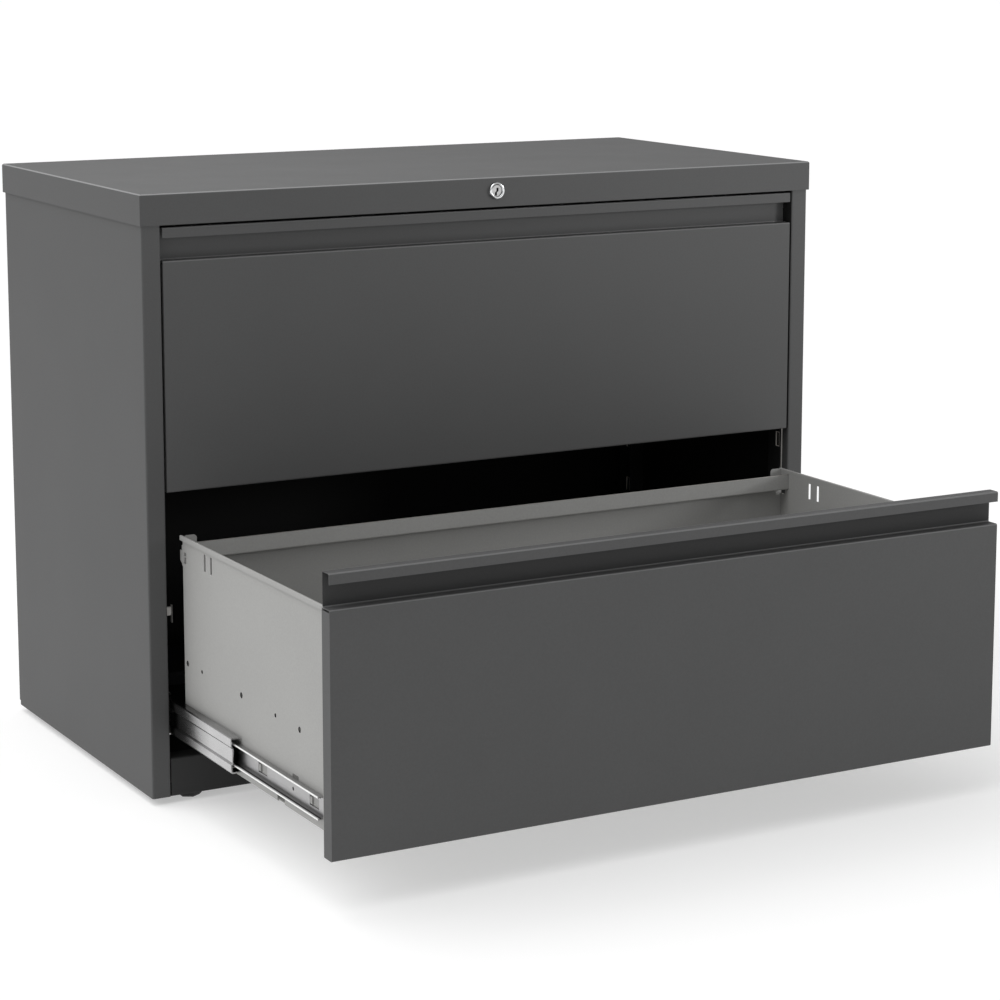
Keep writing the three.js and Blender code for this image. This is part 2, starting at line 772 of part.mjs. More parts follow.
// Plug: turns in the housing, with a keyway that steps to one side half way up
function lockPlug() {
  const face = -lockBezelProud / 3;
  const tailEnd = camFront + camThickness;
  const body = bar('y', lockPlugRadius, face, lockBarrelLength, [0, lockZ], lockSides);
  const tail = bar('y', lockTailRadius, lockBarrelLength / 2, tailEnd, [0, lockZ], lockSides);
  const middle = lockZ - keyway.drop;
  const [low, high] = span(middle, keyway.height);
  const [lower, upper] = [-1, 1].map((jog) => span(jog * keyway.jog / 2, keyway.width));
  const [bend, straight] = span(middle, keyway.slope);
  const slot = polygon([
    [lower[0], low],
    [lower[1], low],
    [lower[1], bend],
    [upper[1], straight],
    [upper[1], high],
    [upper[0], high],
    [upper[0], straight],
    [lower[0], bend],
  ]);
  return cut(join([body, tail]), [prism(slot, 'y', face - cutMargin, face + keyway.depth)]);
}

// Cam: hub, arm and drive pin, set half a turn of the key short of upright
function lockCam() {
  const back = camFront + camThickness;
  const hub = bar('y', camHub, camFront, back, [0, 0], lockSides);
  const arm = block(span(0, 2 * (pinRadius + camArmWall)), [camFront, back], [0, camThrow + pinRadius]);
  const pin = bar('y', pinRadius, camFront, linkBack + linkGap, [0, camThrow], holeSides);
  const eye = bar('y', lockTailRadius + seat, camFront - cutMargin, back + cutMargin, [0, 0], lockSides);
  return cut(join([hub, arm, pin]), [eye]).rotateY(-camTurn / 2).translate(0, 0, lockZ);
}

// Link: a bar across the case, driven by the cam pin and driving both lock rods by slanting slots
function lockLink() {
  const camPinX = -camThrow * Math.sin(camTurn / 2);
  const slotHalf = pinRadius + pinClearance;
  const shoulder = lockTravel + slotHalf + linkWall;
  const rightEnd = rodPinX + slotHalf + linkWall;
  const leftEnd = -rodPinX - shoulder;
  const outline = polygon([
    [leftEnd, linkEndBottom],
    [linkWall + slotHalf - rodPinX, linkEndBottom],
    [linkWall + slotHalf - rodPinX, linkBottom],
    [rodPinX - shoulder, linkBottom],
    [rodPinX - shoulder, linkEndBottom],
    [rightEnd, linkEndBottom],
    [rightEnd, linkTop],
    [leftEnd, linkTop],
  ]);
  const camLow = lockZ + camThrow * Math.cos(camTurn / 2) - slotHalf;
  const camHigh = lockZ + camThrow + slotHalf;
  const camHalf = pinRadius + pinPlay;
  outline.holes.push(polygon([
    [camPinX - camHalf, camLow],
    [camPinX + camHalf, camLow],
    [camPinX + camHalf, camHigh],
    [camPinX - camHalf, camHigh],
  ]));
  const corner = slotHalf * Math.SQRT2;
  for (const x of [-rodPinX, rodPinX]) {
    outline.holes.push(polygon([
      [x, rodTopZ + corner],
      [x - lockTravel - corner, rodTopZ - lockTravel],
      [x - lockTravel, rodTopZ - lockTravel - corner],
      [x + corner, rodTopZ],
    ]));
  }
  return prism(outline, 'y', linkFront, linkBack);
}

// Guide: a folded rail under the cap that the link slides along
function lockGuide() {
  const face = linkBack + linkRearGap;
  const section = foldedSheet([
    [face + guideFlange, capUnder - seat],
    [face, capUnder - seat],
    [face, linkBottom - seat - caseSheet],
    [linkFront, linkBottom - seat - caseSheet],
  ], caseSheet);
  return prism(section, 'x', -guideReach, guideReach);
}

// Lock rod: a strip inside the front upright, pinned to the link, with a tab out of it at each drawer
function lockRod(side) {
  const across = (from, to) => [side * from, side * to].sort((a, b) => a - b);
  const rear = rodFront + rodWidth;
  const neckRear = neckFront + rodNeck;
  const rodBottom = firstFront + tabRise - rodTab.height;
  const strip = polygon([
    [rodFront, rodBottom],
    [rear, rodBottom],
    [rear, uprightTop - lockTravel],
    [neckRear, uprightTop],
    [neckRear, rodTopZ + pinRadius],
    [neckFront, rodTopZ + pinRadius],
    [neckFront, uprightTop - lockTravel],
    [rodFront, uprightTop - lockTravel],
  ]);
  const pin = bar('y', pinRadius, linkFront - linkGap, neckRear, [side * rodPinX, rodTopZ], holeSides);
  const headInner = boxHalf + tabHead.gap;
  const headMiddle = headInner + tabHead.thickness / 2;
  const depth = span(slotCentreY, rodTab.width);
  const tabs = drawerBottoms.flatMap((bottom) => [
    block(across(headMiddle, rodPinX), depth, span(bottom + tabRise, rodTab.height)),
    block(across(headInner, headInner + tabHead.thickness), depth, span(bottom + headRise, tabHead.height)),
  ]);
  return join([prism(strip, 'x', ...across(rodInner, rodInner + rodThickness)), pin, ...tabs]);
}

const sides = { left: -1, right: 1 };
const memberMiddle = (memberFront + memberRear) / 2;
const slideMiddle = (cabinetFront + memberRear) / 2;

// One drawer on its pair of slides: the drawer goes the whole way, the middle members half of it
// and each ball cage the mean of the two members that it runs between
function drawerUnit(name, bottom, drawnOut) {
  const unit = new THREE.Group();
  const moved = (share) => {
    const group = new THREE.Group();
    group.position.y = -drawnOut * share;
    unit.add(group);
    return group;
  };
  const drawer = moved(1);
  const innerCages = moved((1 + middleShare) / 2);
  const middles = moved(middleShare);
  const outerCages = moved(middleShare / 2);
  const fixed = moved(0);
  const z = bottom + slideRise;
  const add = (group, part, geometry, finish) => group.add(piece(`${name}_${part}`, geometry, finish));

  add(drawer, 'drawer_front', drawerFront(bottom), finishes.charcoalPaint);
  add(drawer, 'drawer_liner', drawerLiner(bottom), finishes.greyPaint);
  add(drawer, 'drawer_bottom', drawerBottom(bottom), finishes.greyPaint);
  add(drawer, 'drawer_back', drawerBack(bottom), finishes.greyPaint);
  add(drawer, 'rear_hang_rail', hangRail(bottom, boxBack - drawerSheet, -1), finishes.greyPaint);
  add(drawer, 'front_hang_rail', hangRail(bottom, linerBack, 1), finishes.greyPaint);
  for (const [hand, side] of Object.entries(sides)) {
    add(drawer, `${hand}_drawer_side`, drawerSide(side, bottom), finishes.greyPaint);
    add(drawer, `${hand}_slide_drawer_member`, drawerMember(side, z), finishes.zincPlate);
    add(middles, `${hand}_slide_middle_member`, middleMember(side, z), finishes.zincPlate);
    add(fixed, `${hand}_slide_cabinet_member`, cabinetMember(side, z), finishes.zincPlate);
    const inner = ballCage(side, z, innerBall, innerCageSet, memberMiddle);
    add(innerCages, `${hand}_slide_inner_cage`, inner, finishes.ballCage);
    const outer = ballCage(side, z, outerBall, slideSheet + rolling, slideMiddle);
    add(outerCages, `${hand}_slide_outer_cage`, outer, finishes.ballCage);
  }
  return unit;
}

function caseUnit() {
  const unit = new THREE.Group();
  const add = (name, geometry, finish) => unit.add(piece(name, geometry, finish));
  add('top_cap', topCap(), finishes.charcoalPaint);
  add('back_panel', backPanel(), finishes.charcoalPaint);
  add('kick_rail', kickRail(), finishes.charcoalPaint);
  add('base_pan', basePan(), finishes.charcoalPaint);
  add('counterweight', counterweightSlab(), finishes.castIron);
  for (const [hand, side] of Object.entries(sides)) {
    add(`${hand}_side_panel`, sidePanel(side), finishes.charcoalPaint);
    add(`${hand}_front_upright`, upright(side, uprightFront), finishes.charcoalPaint);
    add(`${hand}_rear_upright`, upright(side, rearUprightFront), finishes.charcoalPaint);
    add(`${hand}_front_glide`, glide(side * glideHalf, frontGlideY), finishes.blackNylon);
    add(`${hand}_rear_glide`, glide(side * glideHalf, rearGlideY), finishes.blackNylon);
  }
  return unit;
}

function lockUnit() {
  const unit = new THREE.Group();
  unit.add(piece('lock_housing', lockHousing(), finishes.chrome));
  unit.add(piece('lock_plug', lockPlug(), finishes.chrome));
  unit.add(piece('lock_cam', lockCam(), finishes.zincPlate));
  unit.add(piece('lock_link', lockLink(), finishes.zincPlate));
  unit.add(piece('lock_guide', lockGuide(), finishes.zincPlate));
  unit.add(piece('left_lock_rod', lockRod(sides.left), finishes.zincPlate));
  unit.add(piece('right_lock_rod', lockRod(sides.right), finishes.zincPlate));
  return unit;
}

// The origin lies on the floor, under the middle of the cabinet with its lower drawer out
const cabinet = new THREE.Group();
cabinet.position.y = -(caseDepth + bodyFront - drawerTravel) / 2;
cabinet.add(caseUnit());
cabinet.add(lockUnit());
cabinet.add(drawerUnit('lower', drawerBottoms[0], drawerTravel));
cabinet.add(drawerUnit('upper', drawerBottoms[1], 0));

export default cabinet;
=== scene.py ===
import math

import bmesh
import bpy
from mathutils import Euler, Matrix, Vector


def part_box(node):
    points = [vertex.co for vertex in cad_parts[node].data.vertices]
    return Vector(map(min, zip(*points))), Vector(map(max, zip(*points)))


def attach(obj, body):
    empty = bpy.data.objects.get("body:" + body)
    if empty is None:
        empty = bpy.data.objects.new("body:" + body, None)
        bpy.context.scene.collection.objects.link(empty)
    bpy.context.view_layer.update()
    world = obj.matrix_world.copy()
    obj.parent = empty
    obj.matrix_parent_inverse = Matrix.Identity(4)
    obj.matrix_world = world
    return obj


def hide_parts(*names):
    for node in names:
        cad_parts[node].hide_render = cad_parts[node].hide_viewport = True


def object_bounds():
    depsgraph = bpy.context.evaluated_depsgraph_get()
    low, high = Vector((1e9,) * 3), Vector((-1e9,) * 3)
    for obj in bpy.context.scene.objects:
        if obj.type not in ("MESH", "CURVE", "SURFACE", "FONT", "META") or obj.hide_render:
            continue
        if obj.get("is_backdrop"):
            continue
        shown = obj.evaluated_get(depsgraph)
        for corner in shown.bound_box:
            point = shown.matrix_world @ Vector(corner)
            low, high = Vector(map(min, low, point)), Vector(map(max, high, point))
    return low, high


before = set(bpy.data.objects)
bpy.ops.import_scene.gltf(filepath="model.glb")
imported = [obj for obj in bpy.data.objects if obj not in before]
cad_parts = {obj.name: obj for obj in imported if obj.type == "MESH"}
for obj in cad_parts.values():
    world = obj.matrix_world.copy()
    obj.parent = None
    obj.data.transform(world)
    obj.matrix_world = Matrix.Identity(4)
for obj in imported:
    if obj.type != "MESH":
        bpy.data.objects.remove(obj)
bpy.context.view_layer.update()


# Case shell: two side panels with folded front stiles, a back sheet, a base pan and a kick rail.
# All are 1.2 mm cold-rolled sheet, folded and spot welded, then baked with a charcoal enamel that
# is satin outside, painted dark as shade on the faces inside and beside the closed fronts, and
# rubbed bright where the stiles end.

class Shade:
    """One socket of a material, so that a pattern is written as arithmetic."""

    def __init__(self, socket):
        self.socket = socket

    def node(self, kind, settings=None, sockets=None, output=0):
        """A new node in the same material: its settings first, then its values and links."""
        tree = self.socket.id_data
        made = tree.nodes.new(kind)
        for key, value in (settings or {}).items():
            if key == "stops":
                set_stops(made.color_ramp, value)
            else:
                setattr(made, key, value)
        for key, value in (sockets or {}).items():
            if isinstance(value, Shade):
                tree.links.new(value.socket, made.inputs[key])
            else:
                made.inputs[key].default_value = value
        return Shade(made.outputs[output])

    def maths(self, operation, first, second=0.0):
        """A Math node on two patterns or numbers."""
        return self.node("ShaderNodeMath", {"operation": operation}, {0: first, 1: second})

    def __add__(self, other):
        return self.maths("ADD", self, other)

    __radd__ = __add__

    def __sub__(self, other):
        return self.maths("SUBTRACT", self, other)

    def __rsub__(self, other):
        return self.maths("SUBTRACT", other, self)

    def __mul__(self, other):
        return self.maths("MULTIPLY", self, other)

    __rmul__ = __mul__

    def __gt__(self, other):
        return self.maths("GREATER_THAN", self, other)

    def __lt__(self, other):
        return self.maths("LESS_THAN", self, other)

    def __abs__(self):
        return self.maths("ABSOLUTE", self)


def set_stops(ramp, stops):
    """Gives a ramp these (position, grey) stops."""
    while len(ramp.elements) < len(stops):
        ramp.elements.new(1.0)
    for element, (position, grey) in zip(ramp.elements, stops):
        element.position = position
        element.color = (grey, grey, grey, 1.0)


def start_finish(name, constants=None):
    """A new material, its shader with these constants set, and the piece's own coordinates."""
    material = bpy.data.materials.new(name)
    material.use_nodes = True
    shader = material.node_tree.nodes["Principled BSDF"]
    for socket, value in (constants or {}).items():
        shader.inputs[socket].default_value = value
    coordinates = material.node_tree.nodes.new("ShaderNodeTexCoord")
    return material, shader, Shade(coordinates.outputs["Object"])


def drive(shader, **patterns):
    """Links patterns to the sockets of a shader."""
    for socket, pattern in patterns.items():
        target = shader.inputs[socket.replace("_", " ").title()]
        shader.id_data.links.new(pattern.socket, target)


def grain(place, scale, detail=2.0, stretch=(1, 1, 1)):
    """Noise of about 0 to 1 with so many grains to the metre, drawn out where stretch is below 1."""
    placed = place.node("ShaderNodeMapping", {}, {"Vector": place, "Scale": stretch})
    return place.node("ShaderNodeTexNoise", {}, {"Vector": placed, "Scale": scale, "Detail": detail})


def blend_colours(mask, first, second):
    """The first colour where the mask is 0, the second where it is 1."""
    return mask.node("ShaderNodeMix", {"data_type": "RGBA"}, {0: mask, 6: first, 7: second}, 2)


def toned(colour, factor):
    """A colour made so many times as light, with its alpha."""
    return tuple(channel * factor for channel in colour[:3]) + (1.0,)


def mottled(pattern, colour, darkest, palest):
    """A colour that a pattern takes from so many times as dark to so many times as light."""
    return blend_colours(pattern, toned(colour, darkest), toned(colour, palest))


def bumped(height, depth, strength=1.0, under=None):
    """A surface normal from a height pattern, over another normal where one is given."""
    sockets = {"Height": height, "Distance": depth, "Strength": strength}
    if under:
        sockets["Normal"] = under
    return height.node("ShaderNodeBump", {}, sockets)


def axes(place):
    """The x, y and z of a place."""
    parts = place.node("ShaderNodeSeparateXYZ", {}, {0: place}).socket.node
    return [Shade(output) for output in parts.outputs]


def enamel(name, colour, roughness, painted_shade=None, painted_highlights=None, bare=None):
    """Baked enamel: faint clouds and mottle in the coat, orange peel and the waves of rolled sheet.

    The patterns are 1 where shade is painted dark, where a highlight is painted light along a fold,
    and where an edge is rubbed to steel. The last comes with the rise of the edge's burr, or None.
    """
    material, shader, place = start_finish(name, {"Specular IOR Level": enamel_gloss})
    clouds = grain(place, scale=9, detail=5)
    mottle = grain(place, scale=450, detail=3)
    peel = grain(place, scale=1300)
    patchy = clouds * cloud_share + mottle * (1 - cloud_share)
    coat = mottled(patchy, colour, darkest=0.88, palest=1.2)
    matt = clouds * matt_spread + (roughness - matt_spread / 2)
    if painted_shade:
        shaded = painted_shade(place)
        coat = blend_colours(shaded, coat, painted_shade_coat)
        matt = matt + shaded * shaded_matt
    if painted_highlights:
        drawn = painted_highlights(place)
        coat = blend_colours(drawn, coat, toned(colour, fold_highlight_gain))
        matt = matt - drawn * edge_gloss
    waves = bumped(grain(place, scale=3, detail=1), wave_depth, wave_strength)
    surface = bumped(peel, peel_depth, peel_strength, waves)
    if bare:
        rubbed, burr = bare(place)
        coat = blend_colours(rubbed, coat, bare_steel)
        matt = matt - rubbed * edge_gloss
        if burr:
            surface = bumped(burr, 1.0, under=surface)
        drive(shader, metallic=rubbed)
    drive(shader, base_color=coat, roughness=matt, normal=surface)
    return material


def finish(material, *names):
    """Gives CAD nodes a material."""
    for name in names:
        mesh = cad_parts[name].data
        mesh.materials.clear()
        mesh.materials.append(material)


charcoal = (0.074, 0.0744, 0.0748)
kick_painted_shadow = 0.35
enamel_gloss = 0.22
cloud_share = 0.4
matt_spread = 0.1
shaded_matt = 0.3
edge_gloss = 0.1
wave_depth = 0.004
wave_strength = 0.1
peel_depth = 0.00004
peel_strength = 0.5
fold_highlight_gain = 3.0
painted_shade_coat = (0.012, 0.012, 0.012, 1.0)
bare_steel = (0.72, 0.70, 0.67, 1.0)
sheet = 0.0012
skin = sheet / 2
stile_width = 0.0228
stile_return = 0.015
rubbed_width = 0.0026
burr_slope = 1.2
panel_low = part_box("left_side_panel")[0]
panel_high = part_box("right_side_panel")[1]
return_end = panel_low.y + stile_return


def behind_stiles(place):
    """1 on the faces that look into the case or on to the edge of a closed front, where shade is painted
    dark, 0 on the rest.
    """
    x, y, z = axes(place)
    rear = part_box("back_panel")[1].y - skin
    inside = (abs(x) < panel_high.x - skin) * (y > return_end - sheet) * (y < rear)
    beside = (abs(x) < panel_high.x - stile_width + skin / 2) * (y > panel_low.y + skin) * (y < rear)
    return place.maths("MAXIMUM", inside, beside * (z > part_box("upper_drawer_front")[0].z))


def return_edge(place):
    """The end of each stile's return: where it is rubbed bright, and the rise of its rolled burr."""
    x, y, z = axes(place)
    inner = abs(abs(x) - (panel_high.x - stile_width + skin)) < sheet
    clear = (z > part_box("kick_rail")[1].z) * (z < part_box("upper_drawer_front")[0].z)
    along = y - (return_end - rubbed_width)
    rubbed = inner * clear * (along > 0) * (along < rubbed_width + skin)
    return rubbed, rubbed * along * burr_slope


# Painted shade darkens the case's inner faces and the stile returns beside the closed fronts.
case_paint = enamel("charcoal_case_enamel", charcoal, 0.52, painted_shade=behind_stiles, bare=return_edge)
finish(case_paint, "left_side_panel", "right_side_panel", "back_panel", "base_pan")
# The kick rail's enamel is darkened as painted shadow from the drawer above.
finish(enamel("charcoal_kick_enamel_painted_shadow", toned(charcoal, kick_painted_shadow), 0.6), "kick_rail")


# Counterweight: a flat iron slab on the base pan behind the lower drawer, which keeps the cabinet
# from tipping when a drawer is out. Sawn from hot-rolled bar, with its mill scale left on.
scale_blue = (0.035, 0.036, 0.039)
rust_bloom = (0.075, 0.045, 0.03, 1.0)
bloom_stops = [(0.58, 0.0), (0.72, 1.0)]
bloom_strength = 0.5
flake_depth = 0.0004


def ramped(pattern, stops):
    """A pattern sent through a ramp with these (position, grey) stops."""
    return pattern.node("ShaderNodeValToRGB", {"stops": stops}, {0: pattern})


mill_scale, shader, place = start_finish("mill_scale_iron", {"Metallic": 0.55})
flakes = grain(place, scale=55, detail=6)
blooms = ramped(grain(place, scale=21, detail=5), bloom_stops) * bloom_strength
scale = mottled(flakes, scale_blue, darkest=0.7, palest=1.5)
drive(
    shader,
    base_color=blend_colours(blooms, scale, rust_bloom),
    roughness=flakes * 0.35 + 0.45,
    normal=bumped(flakes, flake_depth, 0.5),
)
finish(mill_scale, "counterweight")


# Levelling glides: six-sided feet moulded in black nylon on a zinc-plated stem, screwed up
# through nuts in the base. The foot's sides keep the fine spark texture of the mould.
nylon_black = (0.011, 0.011, 0.012)
stem_zinc = (0.55, 0.56, 0.57, 1.0)
spark_depth = 0.00006
hands = ("left", "right")
ends = ("front", "rear")
glide_nylon, shader, place = start_finish("moulded_black_nylon")
spark = grain(place, scale=2400, detail=3)
stem = axes(place)[2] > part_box("kick_rail")[0].z
nylon = mottled(spark, nylon_black, darkest=0.8, palest=1.7)
drive(
    shader,
    base_color=blend_colours(stem, nylon, stem_zinc),
    metallic=stem * 0.9,
    roughness=0.5 + spark * 0.16 - stem * 0.25,
    normal=bumped(spark, spark_depth, 0.6),
)
finish(glide_nylon, *[f"{hand}_{end}_glide" for hand in hands for end in ends])


# Uprights: slotted channels welded inside the side panels, which carry the slides and guide the
# lock rods. Black primer, with a highlight painted light along the sheared rear edges and on the
# punched rim of each slot.
primer = (0.007, 0.007, 0.0075)
slot_rim_highlight = (0.95, 0.89, 0.83, 1.0)
rear_edge_highlight = (0.09, 0.09, 0.09, 1.0)
slot_width = 0.007
slot_height = 0.018
slot_inset = 0.003
slots_per_drawer = 5
cut_rim = 0.0006
dust_depth = 0.00004


def punched_rims(place):
    """1 on the cut edges of the slots, which repeat evenly up each upright, where a highlight is painted
    light.
    """
    _, y, z = axes(place)
    slide_low, slide_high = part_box("upper_left_slide_cabinet_member")
    pitch = (slide_low.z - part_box("lower_left_slide_cabinet_member")[0].z) / slots_per_drawer
    rise = place.maths("PINGPONG", z - (slide_low.z + slide_high.z) / 2, pitch / 2)
    middles = [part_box(f"left_{end}_upright")[0].y + slot_inset + slot_width / 2 for end in ends]
    column = sum(abs(y - middle) < slot_width / 2 + cut_rim for middle in middles)
    return column * (rise < slot_height / 2 + cut_rim)


def rear_edges(place):
    """1 along the sheared rear edge of each upright, where a highlight is painted light."""
    y = axes(place)[1]
    rears = [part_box(f"left_{end}_upright")[1].y for end in ends]
    return sum(abs(y - rear) < 2 * cut_rim for rear in rears)


upright_primer, shader, place = start_finish("black_primer_with_painted_slot_highlights")
rims = punched_rims(place)
dust = grain(place, scale=700, detail=3)
coat = mottled(dust, primer, darkest=0.8, palest=1.4)
# Painted highlights: the rear edges and the slot rims are coloured light.
coat = blend_colours(rear_edges(place), coat, rear_edge_highlight)
drive(
    shader,
    base_color=blend_colours(rims, coat, slot_rim_highlight),
    roughness=0.66 + dust * 0.12 - rims * 0.2,
    normal=bumped(dust, dust_depth, 0.5),
)
finish(upright_primer, *[f"{hand}_{end}_upright" for hand in hands for end in ends])


# Telescoping slides: cabinet, middle and drawer members roll-formed from steel strip and bright
# zinc plated. The rolls leave fine streaks along each member. Shade is painted dark on the drawer
# member's beads, on the middle member's upper step and where it runs into the case, and a
# highlight is painted light on the slit edges.
drawers = ("lower", "upper")
lengthwise = (1, 0.02, 1)
zinc = (0.56, 0.557, 0.56)
middle_dulled = 0.95
drawer_dulled = 0.77
streak_depth = 0.00002
streak_matt = 0.16
cloud_matt = 0.1
painted_shade_film = (0.045, 0.044, 0.042, 1.0)
tip_highlight = (0.86, 0.86, 0.85, 1.0)
slit_width = 0.0008
shade_stops = [(0.36, 0.0), (0.52, 0.3), (0.66, 0.74), (1.0, 0.97)]
shade_edge_draw = (1, 0.15, 1)
shade_edge_reach = 0.3
step_shade = 0.8
web_height = 0.016
web_step = 0.002
bead_height = 0.0007
bead_inset = 0.0036
bead_pitch = 0.0022
strip_gauge = 0.0015


def zinc_plate(name, colour, roughness, along, shade_film_pattern=None, painted_tips=None):
    """Bright plate over rolled strip: streaks one way, soft clouds, painted shade, and a highlight painted
    light on slit edges.
    """
    material, shader, place = start_finish(name, {"Metallic": 1.0})
    streaks = grain(place, scale=900, detail=3, stretch=along)
    clouds = grain(place, scale=40, detail=4)
    plate = mottled(clouds, colour, darkest=0.86, palest=1.1)
    if shade_film_pattern:
        plate = blend_colours(shade_film_pattern(place), plate, painted_shade_film)
    if painted_tips:
        edges = painted_tips(place)
        plate = blend_colours(edges, plate, tip_highlight)
        drive(shader, metallic=1 - edges)
    smoothest = roughness - (streak_matt + cloud_matt) / 2
    drive(
        shader,
        base_color=plate,
        roughness=streaks * streak_matt + clouds * cloud_matt + smoothest,
        normal=bumped(streaks, streak_depth, 0.4),
    )
    return material


def from_tip(place):
    """How far a place lies in from the tips of the drawer members' flanges."""
    return abs(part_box("lower_left_slide_drawer_member")[0].x) - abs(axes(place)[0])


def flange_tips(place):
    """1 on the slit edges of the drawer members' flanges, where a highlight is painted light."""
    return from_tip(place) < slit_width


def race_shade_lines(place):
    """1 inside each drawer member's flanges, along the middle bead and in the corner by the web, where
    shade is painted dark.
    """
    z = axes(place)[2]
    low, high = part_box("lower_left_slide_drawer_member")
    web_face = high.x - low.x - 1.5 * strip_gauge
    inset = from_tip(place)
    middle = abs(inset - bead_inset) < bead_pitch / 2
    corner = (inset > bead_inset + 1.5 * bead_pitch) * (inset < web_face)
    inside = 0
    for drawer in drawers:
        low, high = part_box(f"{drawer}_left_slide_drawer_member")
        depth = (high.z - low.z) / 2 - strip_gauge - abs(z - (low.z + high.z) / 2)
        inside = inside + (abs(depth - bead_height / 2) < bead_height)
    return inside * (middle + corner)


def bay_shade(drawer):
    """Painted shade on a middle member: along its upper step, and darker towards the case."""
    low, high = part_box(f"{drawer}_left_slide_middle_member")
    clear = panel_low.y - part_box("lower_left_slide_middle_member")[0].y
    upper_step = (low.z + high.z + web_height + web_step) / 2

    def drawn(place):
        _, y, z = axes(place)
        shade_edge = (grain(place, scale=60, detail=3, stretch=shade_edge_draw) - 0.5) * shade_edge_reach
        film = ramped((y - low.y) * (1 / clear) + shade_edge, shade_stops)
        return place.maths("MAXIMUM", film, (abs(z - upper_step) < web_step / 2) * step_shade)

    return drawn


# Drawer members carry painted shade on their beads and painted highlights on their tips; middle members
# painted shade towards the case.
rolled = zinc_plate("bright_zinc_strip", zinc, 0.24, lengthwise)
beaded_zinc = toned(zinc, drawer_dulled)
beaded = zinc_plate("bright_zinc_beaded_strip", beaded_zinc, 0.34, lengthwise, race_shade_lines, flange_tips)
for drawer in drawers:
    name = f"bright_zinc_{drawer}_drawn_strip"
    drawn = zinc_plate(name, toned(zinc, middle_dulled), 0.22, lengthwise, bay_shade(drawer))
    for part, plate in (("cabinet", rolled), ("middle", drawn), ("drawer", beaded)):
        finish(plate, *[f"{drawer}_{hand}_slide_{part}_member" for hand in hands])


# Ball cages: thin oiled strips bent to a channel between the slide members, each holding two rows
# of hardened steel balls. The balls are set close, so that the drawer rolls on several at once.
strip = 0.0005
play = 0.00035
row_end = 0.008
balls_in_row = 12
ball_radii = {"outer": 0.00165, "inner": 0.002775}
cage_steel = (0.46, 0.46, 0.45)
oiled_steel = zinc_plate("oiled_ball_cage_steel", cage_steel, 0.26, (1, 0.05, 1))


def add_input(tree, name, kind):
    """Adds a named input to a geometry tree and returns its identifier."""
    return tree.interface.new_socket(name, in_out="INPUT", socket_type=kind).identifier


def ball_row_tree():
    """Rows of balls at the corners of an upright rectangle, joined to the cages that hold them."""
    tree = bpy.data.node_groups.new("ball_rows", "GeometryNodeTree")
    tree.interface.new_socket("Cages", in_out="OUTPUT", socket_type="NodeSocketGeometry")
    sockets = {"Cages": add_input(tree, "Cages", "NodeSocketGeometry")}
    for name in ("Width", "Height", "Ball Radius"):
        sockets[name] = add_input(tree, name, "NodeSocketFloat")
    for name in ("Middle", "First Ball", "Step"):
        sockets[name] = add_input(tree, name, "NodeSocketVector")
    sockets["Balls"] = add_input(tree, "Balls", "NodeSocketInt")
    sockets["Finish"] = add_input(tree, "Finish", "NodeSocketMaterial")
    given = tree.nodes.new("NodeGroupInput").outputs

    def add(kind, links, **values):
        node = tree.nodes.new(kind)
        for key, value in values.items():
            node.inputs[key.replace("_", " ")].default_value = value
        for key, socket in links.items():
            tree.links.new(socket, node.inputs[key])
        return node.outputs[0]

    sizes = {"Size X": given["Width"], "Size Y": given["Height"]}
    corners = add("GeometryNodeMeshGrid", sizes, Vertices_X=2, Vertices_Y=2)
    stood = {"Geometry": corners, "Translation": given["Middle"]}
    upright = add("GeometryNodeTransform", stood, Rotation=(math.pi / 2, 0, 0))
    line = {"Count": given["Balls"], "Start Location": given["First Ball"], "Offset": given["Step"]}
    row = add("GeometryNodeMeshLine", line)
    rows = add("GeometryNodeInstanceOnPoints", {"Points": upright, "Instance": row})
    places = add("GeometryNodeRealizeInstances", {"Geometry": rows})
    ball = add("GeometryNodeMeshUVSphere", {"Radius": given["Ball Radius"]}, Segments=14, Rings=8)
    smooth = add("GeometryNodeSetShadeSmooth", {"Geometry": ball})
    balls = add("GeometryNodeInstanceOnPoints", {"Points": places, "Instance": smooth})
    both = tree.nodes.new("GeometryNodeJoinGeometry")
    tree.links.new(given["Cages"], both.inputs[0])
    tree.links.new(balls, both.inputs[0])
    whole = add("GeometryNodeRealizeInstances", {"Geometry": both.outputs[0]})
    painted = add("GeometryNodeSetMaterial", {"Geometry": whole, "Material": given["Finish"]})
    tree.links.new(painted, tree.nodes.new("NodeGroupOutput").inputs[0])
    return tree, sockets


def prism(mesh, outline, front, rear):
    """Adds an outline in x and z, drawn out along y, to a mesh under construction."""
    ends = [[mesh.verts.new((x, y, z)) for x, z in outline] for y in (front, rear)]
    mesh.faces.new(ends[0])
    mesh.faces.new(reversed(ends[1]))
    for i in range(len(outline)):
        j = (i + 1) % len(outline)
        mesh.faces.new((ends[0][j], ends[0][i], ends[1][i], ends[1][j]))


def link_mesh(name, mesh):
    """Turns a mesh under construction into an object with its faces outwards."""
    bmesh.ops.remove_doubles(mesh, verts=mesh.verts, dist=1e-7)
    bmesh.ops.recalc_face_normals(mesh, faces=mesh.faces)
    data = bpy.data.meshes.new(name)
    mesh.to_mesh(data)
    mesh.free()
    made = bpy.data.objects.new(name, data)
    bpy.context.scene.collection.objects.link(made)
    return made


def apply_tree(made, tree, values):
    """Runs a geometry tree on an object and keeps the result as its plain mesh."""
    modifier = made.modifiers.new(tree.name, "NODES")
    modifier.node_group = tree
    for identifier, value in values.items():
        modifier[identifier] = value
    evaluated = made.evaluated_get(bpy.context.evaluated_depsgraph_get())
    mesh = bpy.data.meshes.new_from_object(evaluated)
    made.modifiers.clear()
    made.data = mesh


